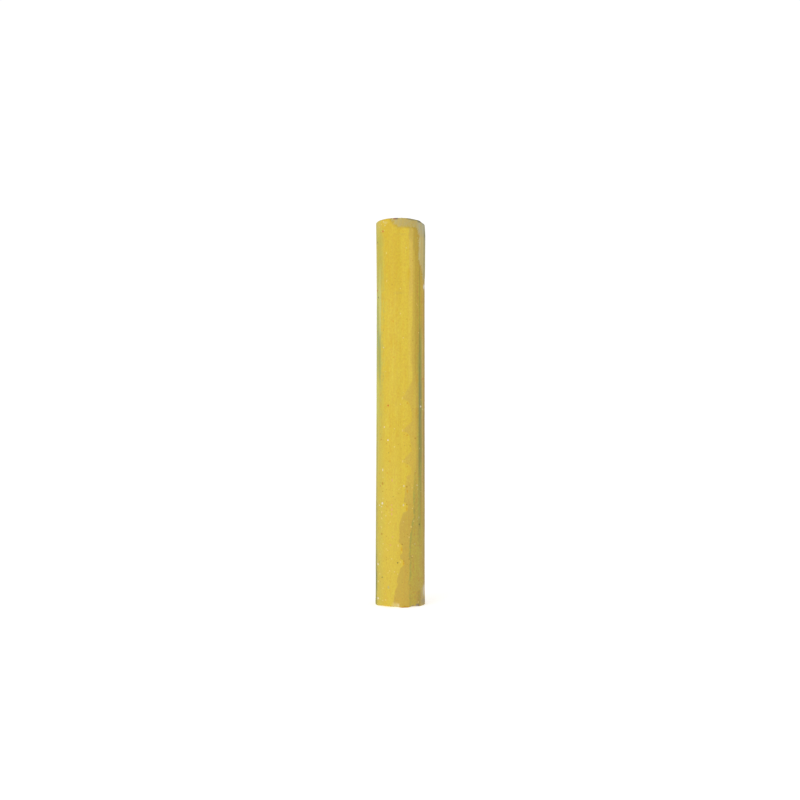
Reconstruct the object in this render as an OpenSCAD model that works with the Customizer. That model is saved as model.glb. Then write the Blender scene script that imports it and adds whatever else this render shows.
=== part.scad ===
// Solid marking crayon: a round stick of hard wax, cast in one piece, standing on its foot.
// Millimetres. The foot lies on z = 0 with its centre at the origin, and the stick rises along +Z.
// The front faces -Y. Bearings are in degrees, seen from above: 0 is the front (-Y), 90 is +X.

/* [Stick] */
// Height from the foot to the middle of the head face
stick_length = 94.8; // [60:0.1:130]
// Diameter at the waist, where the stick is slimmest
waist_d = 12; // [9:0.1:16]

/* [Flares] */
// How much wider the stick is at its foot than at its waist
foot_swell = 0.24; // [0:0.02:1]
// Height over which the stick widens from the waist down to the foot
foot_flare = 56; // [5:1:90]
// How much wider the stick is at its head than at its waist
head_swell = 0.4; // [0:0.02:1]
// Height over which the stick widens from the waist up to the head
head_flare = 22; // [5:1:90]

/* [Foot] */
// Radius that rounds the foot's edge
foot_edge = 0.2; // [0.1:0.05:1]

/* [Head] */
// How far the head face rises from its rim to its middle
head_crown = 0.1; // [0.05:0.01:0.5]
// Radius that rounds the head's edge where it is still fresh
head_edge = 0.3; // [0.15:0.05:1]
// Slope of the head face, high at -X, as the cut left it
head_tilt = 0.9; // [0:0.1:4]

/* [Wear] */
// Bearing of the shoulder that use has rubbed away
wear_bearing = 60; // [-180:5:180]
// How deep the rubbed shoulder is at the top of its skirt
wear_depth = 0.12; // [0.05:0.01:0.6]
// How far the rubbed shoulder's skirt runs down the stick
wear_height = 2.4; // [1:0.1:8]
// Radius that the rub has given the head's edge on that side
wear_edge = 0.8; // [0.6:0.05:2]

/* [Foot chip] */
// Bearing of the flake that is gone from the foot's edge
foot_chip_bearing = -9; // [-180:1:180]
// Width of that flake
foot_chip_w = 2.2; // [1:0.1:4]
// Depth of that flake
foot_chip_depth = 0.22; // [0.05:0.01:0.5]

/* [Foot crumble] */
// Bearing of the crumbled place beside the flake
foot_crumble_bearing = 41; // [-180:1:180]
// Width of the crumbled place
foot_crumble_w = 1.9; // [1:0.1:4]
// Depth of the crumbled place
foot_crumble_depth = 0.18; // [0.05:0.01:0.5]

/* [Head nick] */
// Bearing of the nick in the side below the head
head_nick_bearing = 81; // [-180:1:180]
// Width of the nick
head_nick_w = 0.9; // [0.5:0.1:3]
// Depth of the nick
head_nick_depth = 0.14; // [0.05:0.01:0.4]
// How far the nick lies under the head face
head_nick_drop = 2.7; // [1:0.1:40]

/* [Hidden] */
wax = [0.855, 0.749, 0.290];
barrel_steps = 16;
edge_steps = 6;
over = 2;                               // how far a cutting solid runs past what it cuts
waist_r = waist_d / 2;
foot_r = waist_r + foot_swell / 2;
head_r = waist_r + head_swell / 2;
wide_r = head_r + foot_r;               // clear of the stick all round
edge_meets = 20;                        // how far from upright the head's edge arc meets the side
edge_centre_r = head_r - head_edge * cos(edge_meets);
crown_r = (edge_centre_r ^ 2 + head_crown ^ 2) / (2 * head_crown);
crown_slope = asin(edge_centre_r / crown_r);
wear_slope = atan(wear_depth / wear_height);
wear_shift = wear_edge / 2;             // how far the rub's axis lies from the stick's
wear_top_slope = 65;                    // where the rub's edge arc meets the head face
head_nick_height = stick_length - head_nick_drop;
$fn = 96;

// How far a flare stands out, at a distance from the end where it is widest
function flare_out(swell, reach, distance) =
    distance >= reach ? 0 : swell / 2 * (1 - distance / reach) ^ 2;

// Radius of the stick at a height, as the mould shaped it
function barrel_r(height) =
    waist_r + flare_out(foot_swell, foot_flare, height)
            + flare_out(head_swell, head_flare, stick_length - height);

// Height of one of the barrel's rings, which lie closer together towards both ends
function ring_height(i) =
    foot_edge + (stick_length - foot_edge) * (1 - cos(180 * i / barrel_steps)) / 2;

// Points of an arc about a centre, from one angle to another. With first = 1 its start is left out
function arc(centre, radius, from, to, first = 0) =
    [for (i = [first : edge_steps])
        let (angle = from + (to - from) * i / edge_steps)
        centre + radius * [cos(angle), sin(angle)]];

// The waisted body, with a rounded edge at the foot, left long at the head for the cut
module barrel() {
    foot_arc = arc([barrel_r(foot_edge) - foot_edge, foot_edge], foot_edge, -90, 0);
    side = [for (i = [1 : barrel_steps]) [barrel_r(ring_height(i)), ring_height(i)]];
    top = stick_length + over;
    rotate_extrude()
        polygon(concat([[0, 0]], foot_arc, side, [[head_r, top], [0, top]]));
}

// What the cut leaves of the head: a low crown, flat in its middle, with a small rounded edge
module cut_form() {
    crown = arc([0, -crown_r], crown_r, 90, 90 - crown_slope, first = 1);
    edge_centre = [edge_centre_r, -head_crown] - head_edge * [sin(crown_slope), cos(crown_slope)];
    edge = arc(edge_centre, head_edge, 90 - crown_slope, 0, first = 1);
    edge_foot = edge[edge_steps - 1][1];
    low = -stick_length - over;
    rotate_extrude()
        polygon(concat([[0, crown[0][1]]], crown, edge, [[wide_r, edge_foot], [wide_r, low], [0, low]]));
}

// What the rub leaves of the head: a wide rounded edge over a sloping skirt. Its axis stands
// away from the rubbed shoulder, so that it bites only on that side.
module wear_form() {
    centre_r = head_r - wear_depth + wear_shift - wear_edge;
    edge = arc([centre_r, -head_crown - wear_edge], wear_edge, wear_top_slope, wear_slope);
    skirt_foot = edge[edge_steps] + [wear_depth, -wear_height];
    way_up = edge[0] + over * [-tan(wear_top_slope), 1];
    low = -stick_length - over;
    translate([-wear_shift * sin(wear_bearing), wear_shift * cos(wear_bearing), 0])
        rotate_extrude()
            polygon(concat([[0, way_up[1]], way_up], edge,
                           [skirt_foot, [wide_r, skirt_foot[1]], [wide_r, low], [0, low]]));
}

// A shallow scoop of a width and depth out of a side that lies at radius side_r
module scoop(bearing, width, depth, side_r, height) {
    ball_r = (width ^ 2 / 4 + depth ^ 2) / (2 * depth);
    rotate([0, 0, bearing])
        translate([0, -(side_r + ball_r - depth), height])
            sphere(r = ball_r);
}

// The places where wax has broken away
module chips() {
    scoop(foot_chip_bearing, foot_chip_w, foot_chip_depth, foot_r, foot_edge);
    scoop(foot_crumble_bearing, foot_crumble_w, foot_crumble_depth, foot_r, foot_edge);
    scoop(head_nick_bearing, head_nick_w, head_nick_depth, barrel_r(head_nick_height), head_nick_height);
}

// Stands a form on the head face, with its slope
module on_head() {
    translate([0, 0, stick_length])
        rotate([0, head_tilt, 0])
            children();
}

// The whole stick, with its wear
module crayon() {
    color(wax)
        difference() {
            intersection() {
                barrel();
                on_head() cut_form();
                on_head() wear_form();
            }
            chips();
        }
}

crayon();
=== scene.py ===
"""Looks of a solid marking crayon: a worn round stick of yellow wax on a pale studio floor.

The stick stands on its foot at the origin and rises along +Z, and its front faces -Y. All that
describes the stick is in millimetres, which MM turns into Blender's metres. A bearing is an angle in
degrees round the stick, seen from above: 0 is the front (-Y) and 90 is +X.
"""

import logging
import math
from dataclasses import dataclass, field
from enum import Enum
from functools import cache, reduce
from typing import Callable, Iterable

import bpy
import numpy as np
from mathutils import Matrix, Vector


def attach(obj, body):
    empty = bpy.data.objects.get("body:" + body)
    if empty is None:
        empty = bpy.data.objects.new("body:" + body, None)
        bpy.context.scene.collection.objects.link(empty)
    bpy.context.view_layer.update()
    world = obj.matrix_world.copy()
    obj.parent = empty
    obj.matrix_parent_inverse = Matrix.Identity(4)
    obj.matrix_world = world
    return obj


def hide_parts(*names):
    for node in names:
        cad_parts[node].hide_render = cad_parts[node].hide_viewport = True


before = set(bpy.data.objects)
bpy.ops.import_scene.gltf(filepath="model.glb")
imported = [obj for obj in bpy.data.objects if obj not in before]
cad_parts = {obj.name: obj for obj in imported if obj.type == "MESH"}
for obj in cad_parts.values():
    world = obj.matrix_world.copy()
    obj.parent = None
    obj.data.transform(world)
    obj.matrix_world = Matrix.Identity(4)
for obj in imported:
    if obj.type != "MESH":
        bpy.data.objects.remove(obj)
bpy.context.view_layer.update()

LOG = logging.getLogger("marking_crayon")
MM = 0.001
WAIST_R = 6.0                           # the stick's radius at its waist
LENGTH = 94.8                           # from the foot to the middle of the head face
DEGREE = math.radians(1) * WAIST_R      # how long one degree is round the stick
FAR = 9.0                               # distance from a border that counts as far away
KEPT = 6.0                              # distance from a border up to which it is kept
Colour = tuple[float, float, float]
Span = tuple[float, float]              # where a change starts and where it is complete
Socket = bpy.types.NodeSocket
Sockets = dict[str, Socket]


# ---------------------------------------------------------------- helpers

def srgb(red: int, green: int, blue: int) -> Colour:
    """Turns a colour as a paint chart gives it into Blender's linear one.

    Args:
        red: Red, 0 to 255.
        green: Green, 0 to 255.
        blue: Blue, 0 to 255.

    Returns:
        The linear colour.
    """
    def linear(value: int) -> float:
        """One channel."""
        share = value / 255
        return share / 12.92 if share <= 0.04045 else ((share + 0.055) / 1.055) ** 2.4

    return linear(red), linear(green), linear(blue)


def smooth(value: np.ndarray, low: float, high: float) -> np.ndarray:
    """Goes smoothly from 0 at low to 1 at high, whichever of the two is greater."""
    share = np.clip((value - low) / (high - low), 0, 1)
    return share * share * (3 - 2 * share)


def take_up(piece: bpy.types.Object) -> None:
    """Deselects everything and makes one piece the active one.

    Args:
        piece: The piece to work on next.
    """
    if bpy.context.object is not None and bpy.context.object.mode != "OBJECT":
        bpy.ops.object.mode_set(mode="OBJECT")
    bpy.ops.object.select_all(action="DESELECT")
    piece.select_set(True)
    bpy.context.view_layer.objects.active = piece


def select_faces(piece: bpy.types.Object, wanted: Callable[[bpy.types.MeshPolygon], bool]) -> None:
    """Selects the faces that a test picks, in edit mode.

    Args:
        piece: The piece in edit mode.
        wanted: Says whether a face is picked.
    """
    bpy.ops.mesh.select_mode(type="FACE")
    bpy.ops.mesh.select_all(action="DESELECT")
    bpy.ops.object.mode_set(mode="OBJECT")
    for face in piece.data.polygons:
        face.select = wanted(face)
    bpy.ops.object.mode_set(mode="EDIT")


def new_group(name: str, takes: dict[str, str],
              gives: dict[str, str]) -> tuple[bpy.types.NodeTree, Sockets, Sockets]:
    """Makes an empty shader node group.

    Args:
        name: The group's name.
        takes: Input names and their kinds: Float, Vector or Color.
        gives: Output names and their kinds.

    Returns:
        The group, its inputs by name and its outputs by name.
    """
    group = bpy.data.node_groups.new(name, "ShaderNodeTree")
    for label, kind in takes.items():
        group.interface.new_socket(label, in_out="INPUT", socket_type="NodeSocket" + kind)
    for label, kind in gives.items():
        group.interface.new_socket(label, in_out="OUTPUT", socket_type="NodeSocket" + kind)
    inside = group.nodes.new("NodeGroupInput")
    outside = group.nodes.new("NodeGroupOutput")
    taken = {socket.name: socket for socket in inside.outputs}
    given = {socket.name: socket for socket in outside.inputs}
    return group, taken, given


@dataclass(frozen=True)
class Noise:
    """A noise: how large its features are, how many finer layers it has and how strong these are.

    The stretch draws its features out along each axis, and the shift keeps it unlike the others.
    """

    size: float
    detail: float = 3.0
    roughness: float = 0.6
    stretch: tuple[float, float, float] = (1, 1, 1)
    shift: float = 0.0


@dataclass
class Bench:
    """A node tree on the bench, with short ways to add and join its nodes, laid out in rows."""

    tree: bpy.types.NodeTree
    per_row: int = 20
    column_width: int = 190
    row_height: int = 260
    count: int = 0

    def add(self, kind: str, **settings: object) -> bpy.types.Node:
        """Adds a node and sets attributes on it.

        Args:
            kind: The node's type, without the word ShaderNode.
            **settings: The attributes.

        Returns:
            The new node.
        """
        node = self.tree.nodes.new("ShaderNode" + kind)
        for name, value in settings.items():
            setattr(node, name, value)
        self.count += 1
        row, column = divmod(self.count, self.per_row)
        node.location = (column * self.column_width, -row * self.row_height)
        return node

    def feed(self, socket: Socket, value: object) -> None:
        """Joins a socket to another node's output, or gives it a plain value.

        Args:
            socket: The input.
            value: An output, a number, a vector or a colour.
        """
        if isinstance(value, Socket):
            self.tree.links.new(value, socket)
        elif socket.type == "RGBA":
            socket.default_value = (*value, 1.0)
        else:
            socket.default_value = value

    def maths(self, operation: str, *values: object) -> Socket:
        """Adds a Math node.

        Args:
            operation: What it works out.
            *values: Up to three numbers or outputs.

        Returns:
            Its output.
        """
        node = self.add("Math", operation=operation)
        for socket, value in zip(node.inputs, values):
            self.feed(socket, value)
        return node.outputs[0]

    def times(self, *values: object) -> Socket:
        """Multiplies numbers or outputs, one after another."""
        return reduce(lambda product, value: self.maths("MULTIPLY", product, value), values)

    def rest(self, share: object) -> Socket:
        """What a share leaves of 1."""
        return self.maths("SUBTRACT", 1.0, share)

    def vector(self, operation: str, *values: object) -> bpy.types.Node:
        """Adds a Vector Math node.

        Args:
            operation: What it works out.
            *values: Vectors or outputs.

        Returns:
            The node.
        """
        node = self.add("VectorMath", operation=operation)
        for socket, value in zip(node.inputs, values):
            self.feed(socket, value)
        return node

    def ramp(self, value: object, low: object, high: object,
             start: object = 0.0, end: object = 1.0) -> Socket:
        """Adds a smooth step. Low may be above high.

        Args:
            value: What it goes by.
            low: Where it starts.
            high: Where it ends.
            start: What it gives at low.
            end: What it gives at high.

        Returns:
            Its output.
        """
        node = self.add("MapRange", interpolation_type="SMOOTHSTEP")
        for socket, given in zip(node.inputs, (value, low, high, start, end)):
            self.feed(socket, given)
        return node.outputs[0]

    def blend(self, share: object, under: object, over: object) -> Socket:
        """Lays one colour over another.

        Args:
            share: How much of the upper colour shows.
            under: The lower colour.
            over: The upper colour.

        Returns:
            The blended colour.
        """
        node = self.add("Mix", data_type="RGBA")
        colour_inputs = [socket for socket in node.inputs if socket.type == "RGBA"]
        for socket, value in zip((node.inputs[0], *colour_inputs), (share, under, over)):
            self.feed(socket, value)
        return next(socket for socket in node.outputs if socket.type == "RGBA")

    def group(self, tree: bpy.types.NodeTree, **values: object) -> bpy.types.Node:
        """Places a node group.

        Args:
            tree: The group.
            **values: What feeds its inputs, by name.

        Returns:
            The group's node.
        """
        node = self.add("Group", node_tree=tree)
        for name, value in values.items():
            self.feed(node.inputs[name], value)
        return node

    def noise(self, place: object, look: Noise) -> Socket:
        """Adds a noise from 0 to 1.

        Args:
            place: Where it is looked up.
            look: What it looks like.

        Returns:
            Its output.
        """
        mapping = self.add("Mapping", vector_type="TEXTURE")
        self.feed(mapping.inputs["Vector"], place)
        mapping.inputs["Scale"].default_value = tuple(look.size * length for length in look.stretch)
        mapping.inputs["Location"].default_value = (look.shift, look.shift * 0.7, look.shift * 1.3)
        node = self.add("TexNoise")
        self.feed(node.inputs["Vector"], mapping.outputs[0])
        node.inputs["Scale"].default_value = 1.0
        node.inputs["Detail"].default_value = look.detail
        node.inputs["Roughness"].default_value = look.roughness
        return node.outputs[0]

    def border(self, name: str) -> Socket:
        """Reads how far a point lies past a border, which the mesh keeps under the border's name."""
        return self.add("Attribute", attribute_name=name).outputs["Fac"]


# ---------------------------------------------------------------- what is drawn on the wax

@dataclass(frozen=True)
class Border:
    """A line on the unrolled skin of the stick, through given points of bearing and height.

    Its shake is how far the noise that tears it moves it.
    """

    name: str
    points: tuple[tuple[float, float], ...]
    shake: float
    runs_round: bool = False

    def offset(self, bearing: np.ndarray, height: np.ndarray) -> np.ndarray:
        """Measures how far points lie from the line.

        Args:
            bearing: The points' bearings.
            height: The points' heights.

        Returns:
            Millimetres, positive to the right of a line that runs along the stick, and above one
            that runs round it.
        """
        across = bearing * DEGREE
        line = np.array(self.points, float)
        order = line[np.argsort(line[:, 0 if self.runs_round else 1], kind="stable")]
        if self.runs_round:
            side = height - np.interp(bearing, order[:, 0], order[:, 1])
        else:
            side = bearing - np.interp(height, order[:, 1], order[:, 0])
        line[:, 0] *= DEGREE
        nearest = np.full(len(across), FAR)
        for (x_a, z_a), (x_b, z_b) in zip(line, line[1:]):
            x_run, z_run = x_b - x_a, z_b - z_a
            share = ((across - x_a) * x_run + (height - z_a) * z_run) / (x_run ** 2 + z_run ** 2)
            share = np.clip(share, 0, 1)
            away = np.hypot(across - x_a - share * x_run, height - z_a - share * z_run)
            nearest = np.minimum(nearest, away)
        return np.where(side > 0, nearest, -nearest)


def tongue(tip: float, rise: float) -> tuple[tuple[float, float], ...]:
    """Outlines one tongue of old skin that reaches into the fresh yellow.

    Args:
        tip: Height of its tip.
        rise: How steeply its upper side comes down, as a multiple of the usual.

    Returns:
        Points from above the tip to below it.
    """
    upper = ((23, 2.3), (17, 1.5), (11, 0.9), (7, 0.3))
    lower = ((6, 0.0), (9, -0.2), (17, -0.6), (22, -1.1))
    return (*((bearing, tip + drop * rise) for bearing, drop in upper),
            *((bearing, tip + drop) for bearing, drop in lower))


TONGUE_TIPS = (50.2, 42.4, 34.9)
TAN_BORDER = Border("tan_edge", (
    (33, 97), (32, 76), (29, 68.5), (26, 66.4), (24.5, 63.4), (27, 61.2), (25.5, 59.4), (29, 57.6),
    (30, 54.6),
    *tongue(TONGUE_TIPS[0], 1.5), (27, 47.0), (28, 44.6),
    *tongue(TONGUE_TIPS[1], 0.8), (25, 39.0), (27, 37.4),
    *tongue(TONGUE_TIPS[2], 1.0), (26, 33.2), (26, 31.9),
    (15, 31.5), (11, 28.0), (9, 26.2), (7, 25.2), (17, 24.6), (17, 23.1), (6, 22.7), (1, 20.9), (-2, 19.6),
    (-2, 16.6), (-4, 15.7), (4, 14.8), (5, 13.0), (-1, 12.5), (0, 11.6), (8, 11.2), (9, 10.2), (1, 9.5),
    (-7, 7.0), (-8, 5.9), (-5, 5.6), (-9, 4.7), (-13, 3.5), (-15, 1.8), (-17, -1)), shake=0.2)
KHAKI_BORDER = Border("khaki_edge", (
    (31, 97), (31, 50), (33, 31), (31, 28), (32, 23), (33, 21.6), (29, 20.6), (24, 18), (21, 14),
    (20, 12.3), (22, 10.8), (22, 7.7), (19, 5.6), (22, 4.2), (20, 2.5), (22, 1.8), (19, -1)), shake=0.35)
SAGE_BORDER = Border("sage_edge", (
    (-74, 97), (-66, 93), (-56, 90), (-52, 84.5), (-50, 76), (-49, 65), (-50, 55), (-56, 50), (-58, 43),
    (-66, 38), (-72, 30), (-74, 11), (-78, -1)), shake=8.0)
RUB_BORDER = Border("rub_edge", (
    (-181, 98), (-25, 97), (-22, 94.5), (-19, 93.8), (-10, 92.8), (-5, 92.4), (28, 92.5), (39, 92.3),
    (45, 91.4), (47, 89.5), (49, 84), (58, 82.2), (66, 79.8), (71, 80.4), (77, 78.2), (84, 81.2),
    (90, 80.4), (95, 84.0), (103, 84.4), (109, 88.6), (118, 88.2), (126, 91.8), (140, 91.4),
    (150, 93.6), (163, 96), (181, 98)), shake=4.5, runs_round=True)
BACK_BORDER = Border("back_edge", (
    (118, 97), (126, 84), (119, 72), (133, 63), (129, 58), (139, 47), (126, 43), (131, 31), (143, 26),
    (137, 14), (144, 9), (136, -1)), shake=0.6)
BORDERS = (TAN_BORDER, KHAKI_BORDER, SAGE_BORDER, RUB_BORDER, BACK_BORDER)


@dataclass(frozen=True)
class Patch:
    """A soft-edged stretch of another colour along the stick, whose edges wander by some degrees.

    It lies between two bearings and two heights, and is so soft across and along.
    """

    name: str
    colour: Colour
    bearing: tuple[float, float]
    height: tuple[float, float]
    soft: tuple[float, float]
    share: float = 1.0
    wander: float = 4.0


@dataclass(frozen=True)
class Blot:
    """A ragged oval spot of another colour: its middle, half its width and half its height."""

    name: str
    colour: Colour
    bearing: float
    height: float
    half_width: float
    half_height: float
    share: float = 0.8
    soft: float = 0.5


@dataclass(frozen=True)
class Pepper:
    """Fine marks strewn at random over the whole stick, in some of the cells of a fine pattern.

    The share says how many of the cells have one, and how many of these stay near the head.
    """

    name: str
    colour: Colour
    per_mm: float
    share: float
    strength: float
    relief: float
    share_at_head: float


class Mark(Enum):
    """What a small mark on the wax looks like, with its colour."""

    WHITE = (236, 228, 200)
    PALE = (222, 208, 160)
    IVORY = (224, 200, 104)
    RED = (196, 80, 30)
    ORANGE = (211, 160, 36)
    ROSE = (220, 168, 106)
    BROWN = (184, 140, 36)
    DARK = (112, 104, 44)
    SMOKE = (190, 178, 108)


class Form(Enum):
    """How far a small mark is drawn out along the stick."""

    WIDE = 0.6
    ROUND = 1.0
    LONG = 1.5
    STREAK = 2.2


@dataclass(frozen=True)
class Speck:
    """A small mark: where it is, how large, and how far it stands out or goes in."""

    bearing: float
    height: float
    size: float
    mark: Mark
    relief: float = 0.0
    form: Form = Form.ROUND

    def around(self) -> float:
        """How far round the stick it lies from the front, in millimetres."""
        return self.bearing * DEGREE


HEAD_SPECKS = (
    Speck(-45, 91.6, 0.28, Mark.RED, -0.06), Speck(-52, 91.4, 0.18, Mark.BROWN, -0.03),
    Speck(-41, 91.7, 0.14, Mark.IVORY, 0.02), Speck(-49, 91.6, 0.16, Mark.IVORY, 0.02),
    Speck(-58, 92.9, 0.15, Mark.PALE, 0.03), Speck(-50, 93.4, 0.14, Mark.IVORY, 0.02),
    Speck(-62, 90.7, 0.15, Mark.IVORY, 0.02), Speck(-38, 92.9, 0.14, Mark.PALE, 0.03),
    Speck(2, 94.4, 0.20, Mark.SMOKE, 0.14), Speck(-43, 93.9, 0.16, Mark.PALE, 0.03),
    Speck(-69, 89.3, 0.28, Mark.DARK, -0.05), Speck(-34, 86.0, 0.17, Mark.IVORY, 0.02, Form.LONG),
    Speck(-34, 79.1, 0.2, Mark.IVORY, 0.02, Form.LONG), Speck(-72, 77.3, 0.32, Mark.RED, -0.04),
    Speck(-67, 75.5, 0.28, Mark.DARK, -0.05), Speck(-72, 67.0, 0.15, Mark.RED, -0.03),
)
UPPER_SPECKS = (
    Speck(0, 77.1, 0.16, Mark.IVORY, 0.02), Speck(0, 70.9, 0.16, Mark.IVORY, 0.02, Form.LONG),
    Speck(-17, 69.1, 0.16, Mark.ORANGE, -0.03, Form.LONG),
    Speck(-16, 60.3, 0.16, Mark.ORANGE, -0.03, Form.LONG),
    Speck(-43, 62.8, 0.15, Mark.PALE, 0.04), Speck(67, 55.3, 0.28, Mark.RED, -0.04),
    Speck(41, 73.5, 0.13, Mark.IVORY, 0.02), Speck(44, 73.2, 0.13, Mark.IVORY, 0.02),
    Speck(48, 66.5, 0.14, Mark.IVORY, 0.02),
)
# At each tongue's tip the ivory streak is a painted highlight over a slight bump, and the orange speck
# below its lower edge is painted shade over a shallow pit.
TONGUE_SPECKS = tuple(
    speck for tip in TONGUE_TIPS for speck in (
        Speck(5, tip + 0.1, 0.16, Mark.IVORY, 0.03, Form.STREAK),
        Speck(16, tip - 1.1, 0.2, Mark.ORANGE, -0.02)))
MIDDLE_SPECKS = (
    Speck(-30, 48.5, 0.25, Mark.RED, -0.03), Speck(56, 48.4, 0.24, Mark.WHITE, 0.05),
    Speck(62, 47.7, 0.18, Mark.PALE, 0.04), Speck(57, 52.7, 0.16, Mark.SMOKE, 0.03),
    Speck(-40, 43.3, 0.17, Mark.WHITE, 0.05), Speck(-30, 40.1, 0.19, Mark.WHITE, 0.05),
    Speck(-24, 43.5, 0.17, Mark.ORANGE, -0.02), Speck(-51, 40.3, 0.20, Mark.BROWN, -0.04),
    Speck(37, 40.6, 0.22, Mark.BROWN, -0.04), Speck(-25, 35.0, 0.20, Mark.ORANGE, -0.03, Form.LONG),
    Speck(37, 32.3, 0.20, Mark.BROWN, -0.04), Speck(51, 38.1, 0.22, Mark.SMOKE, 0.03),
    Speck(-76, 37.0, 0.24, Mark.ROSE, 0.02), Speck(-45, 32.9, 0.16, Mark.WHITE, 0.05, Form.STREAK),
    Speck(-32, 32.2, 0.19, Mark.ORANGE, -0.03),
)
LOWER_SPECKS = (
    Speck(-46, 29.6, 0.36, Mark.BROWN, -0.05), Speck(-54, 29.0, 0.18, Mark.RED, -0.03),
    Speck(-45, 27.7, 0.22, Mark.BROWN, -0.04, Form.WIDE), Speck(8, 29.1, 0.17, Mark.PALE, 0.06, Form.LONG),
    Speck(0, 28.8, 0.13, Mark.IVORY, 0.03), Speck(-3, 28.3, 0.13, Mark.IVORY, 0.03),
    # The orange streak below the pale crumb at 29.1 mm is painted shadow over a shallow pit.
    Speck(15, 28.9, 0.22, Mark.BROWN, -0.03), Speck(16, 27.8, 0.2, Mark.ORANGE, -0.03, Form.STREAK),
    Speck(-46, 24.8, 0.3, Mark.WHITE, 0.06), Speck(-57, 24.3, 0.18, Mark.WHITE, 0.05),
    Speck(-49, 24.0, 0.16, Mark.PALE, 0.04), Speck(-32, 24.1, 0.19, Mark.ORANGE, -0.03),
    Speck(-20, 24.5, 0.18, Mark.ROSE, 0.02), Speck(-20, 23.4, 0.18, Mark.ROSE, 0.02, Form.STREAK),
    Speck(-20, 22.3, 0.18, Mark.ROSE, 0.02, Form.STREAK),
    Speck(-19, 30.4, 0.17, Mark.ROSE, 0.02, Form.STREAK), Speck(7, 24.5, 0.17, Mark.PALE, 0.06, Form.LONG),
    # The orange streak below the pale crumb at 24.5 mm is painted shadow over a shallow pit.
    Speck(15, 24.6, 0.20, Mark.BROWN, -0.05), Speck(15, 23.5, 0.2, Mark.ORANGE, -0.03, Form.STREAK),
    Speck(-48, 22.7, 0.26, Mark.IVORY, 0.03), Speck(-48, 21.2, 0.26, Mark.IVORY, 0.03),
    Speck(-50, 19.0, 0.26, Mark.IVORY, 0.03), Speck(-28, 20.0, 0.15, Mark.IVORY, 0.04),
    Speck(-24, 20.4, 0.14, Mark.IVORY, 0.04), Speck(42, 29.2, 0.17, Mark.PALE, 0.03),
    Speck(44, 28.2, 0.17, Mark.SMOKE, 0.03), Speck(48, 21.4, 0.26, Mark.SMOKE, 0.03),
    Speck(32, 20.6, 0.18, Mark.IVORY, 0.03), Speck(25, 19.2, 0.20, Mark.IVORY, 0.03),
    Speck(50, 19.7, 0.26, Mark.DARK, -0.06), Speck(-48, 17.4, 0.26, Mark.BROWN, -0.06),
)
FOOT_SPECKS = (
    Speck(-18, 16.8, 0.16, Mark.ROSE, 0.02), Speck(-23, 14.9, 0.18, Mark.ROSE, 0.02, Form.LONG),
    Speck(-5, 14.8, 0.18, Mark.IVORY, 0.05, Form.STREAK), Speck(4, 15.1, 0.20, Mark.BROWN, -0.02),
    # The orange streak below the ivory crumb at 14.8 mm is painted shadow over a shallow pit.
    Speck(3, 13.9, 0.22, Mark.ORANGE, -0.03, Form.STREAK), Speck(-34, 13.9, 0.18, Mark.IVORY, 0.04),
    Speck(-30, 13.6, 0.17, Mark.IVORY, 0.04), Speck(35, 15.1, 0.20, Mark.SMOKE, 0.03),
    Speck(-6, 10.7, 0.17, Mark.DARK, -0.07), Speck(0, 10.9, 0.17, Mark.IVORY, 0.04, Form.LONG),
    Speck(8, 11.1, 0.18, Mark.BROWN, -0.04), Speck(7, 10.5, 0.22, Mark.ORANGE, -0.02, Form.LONG),
    Speck(-62, 10.0, 0.28, Mark.WHITE, 0.06), Speck(-61, 5.9, 0.22, Mark.PALE, 0.05),
    Speck(-61, 1.8, 0.28, Mark.WHITE, 0.05), Speck(-25, 8.7, 0.16, Mark.IVORY, 0.03),
    Speck(-29, 8.2, 0.16, Mark.IVORY, 0.03), Speck(-46, 7.0, 0.17, Mark.DARK, -0.07),
    Speck(-28, 4.8, 0.26, Mark.SMOKE, -0.02, Form.LONG),
)
SIDE_AND_BACK_SPECKS = (
    Speck(-120, 84.0, 0.24, Mark.IVORY, 0.03, Form.LONG), Speck(-152, 71.5, 0.20, Mark.RED, -0.04),
    Speck(141, 66.0, 0.22, Mark.PALE, 0.05), Speck(-133, 58.2, 0.26, Mark.BROWN, -0.05),
    Speck(166, 52.6, 0.20, Mark.ORANGE, -0.03, Form.LONG), Speck(-171, 46.3, 0.24, Mark.DARK, -0.06),
    Speck(118, 44.9, 0.22, Mark.PALE, 0.05, Form.LONG), Speck(-112, 37.5, 0.20, Mark.RED, -0.04),
    Speck(152, 31.2, 0.30, Mark.BROWN, -0.05), Speck(-146, 27.4, 0.24, Mark.PALE, 0.06),
    Speck(-141, 26.6, 0.17, Mark.PALE, 0.04), Speck(126, 21.8, 0.20, Mark.ORANGE, -0.03),
    Speck(-165, 16.5, 0.22, Mark.DARK, -0.06), Speck(172, 12.3, 0.26, Mark.IVORY, 0.04, Form.LONG),
    Speck(-128, 8.8, 0.22, Mark.PALE, 0.05), Speck(139, 5.5, 0.24, Mark.BROWN, -0.05),
)
SPECKS = (
    *HEAD_SPECKS, *UPPER_SPECKS, *TONGUE_SPECKS, *MIDDLE_SPECKS, *LOWER_SPECKS, *FOOT_SPECKS,
    *SIDE_AND_BACK_SPECKS,
)


@dataclass(frozen=True)
class Chip:
    """A place where wax has broken away: how deep it goes, and how far it lifts the foot's edge."""

    bearing: float
    height: float
    width: float
    tall: float
    depth: float
    lift: float = 0.0


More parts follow.
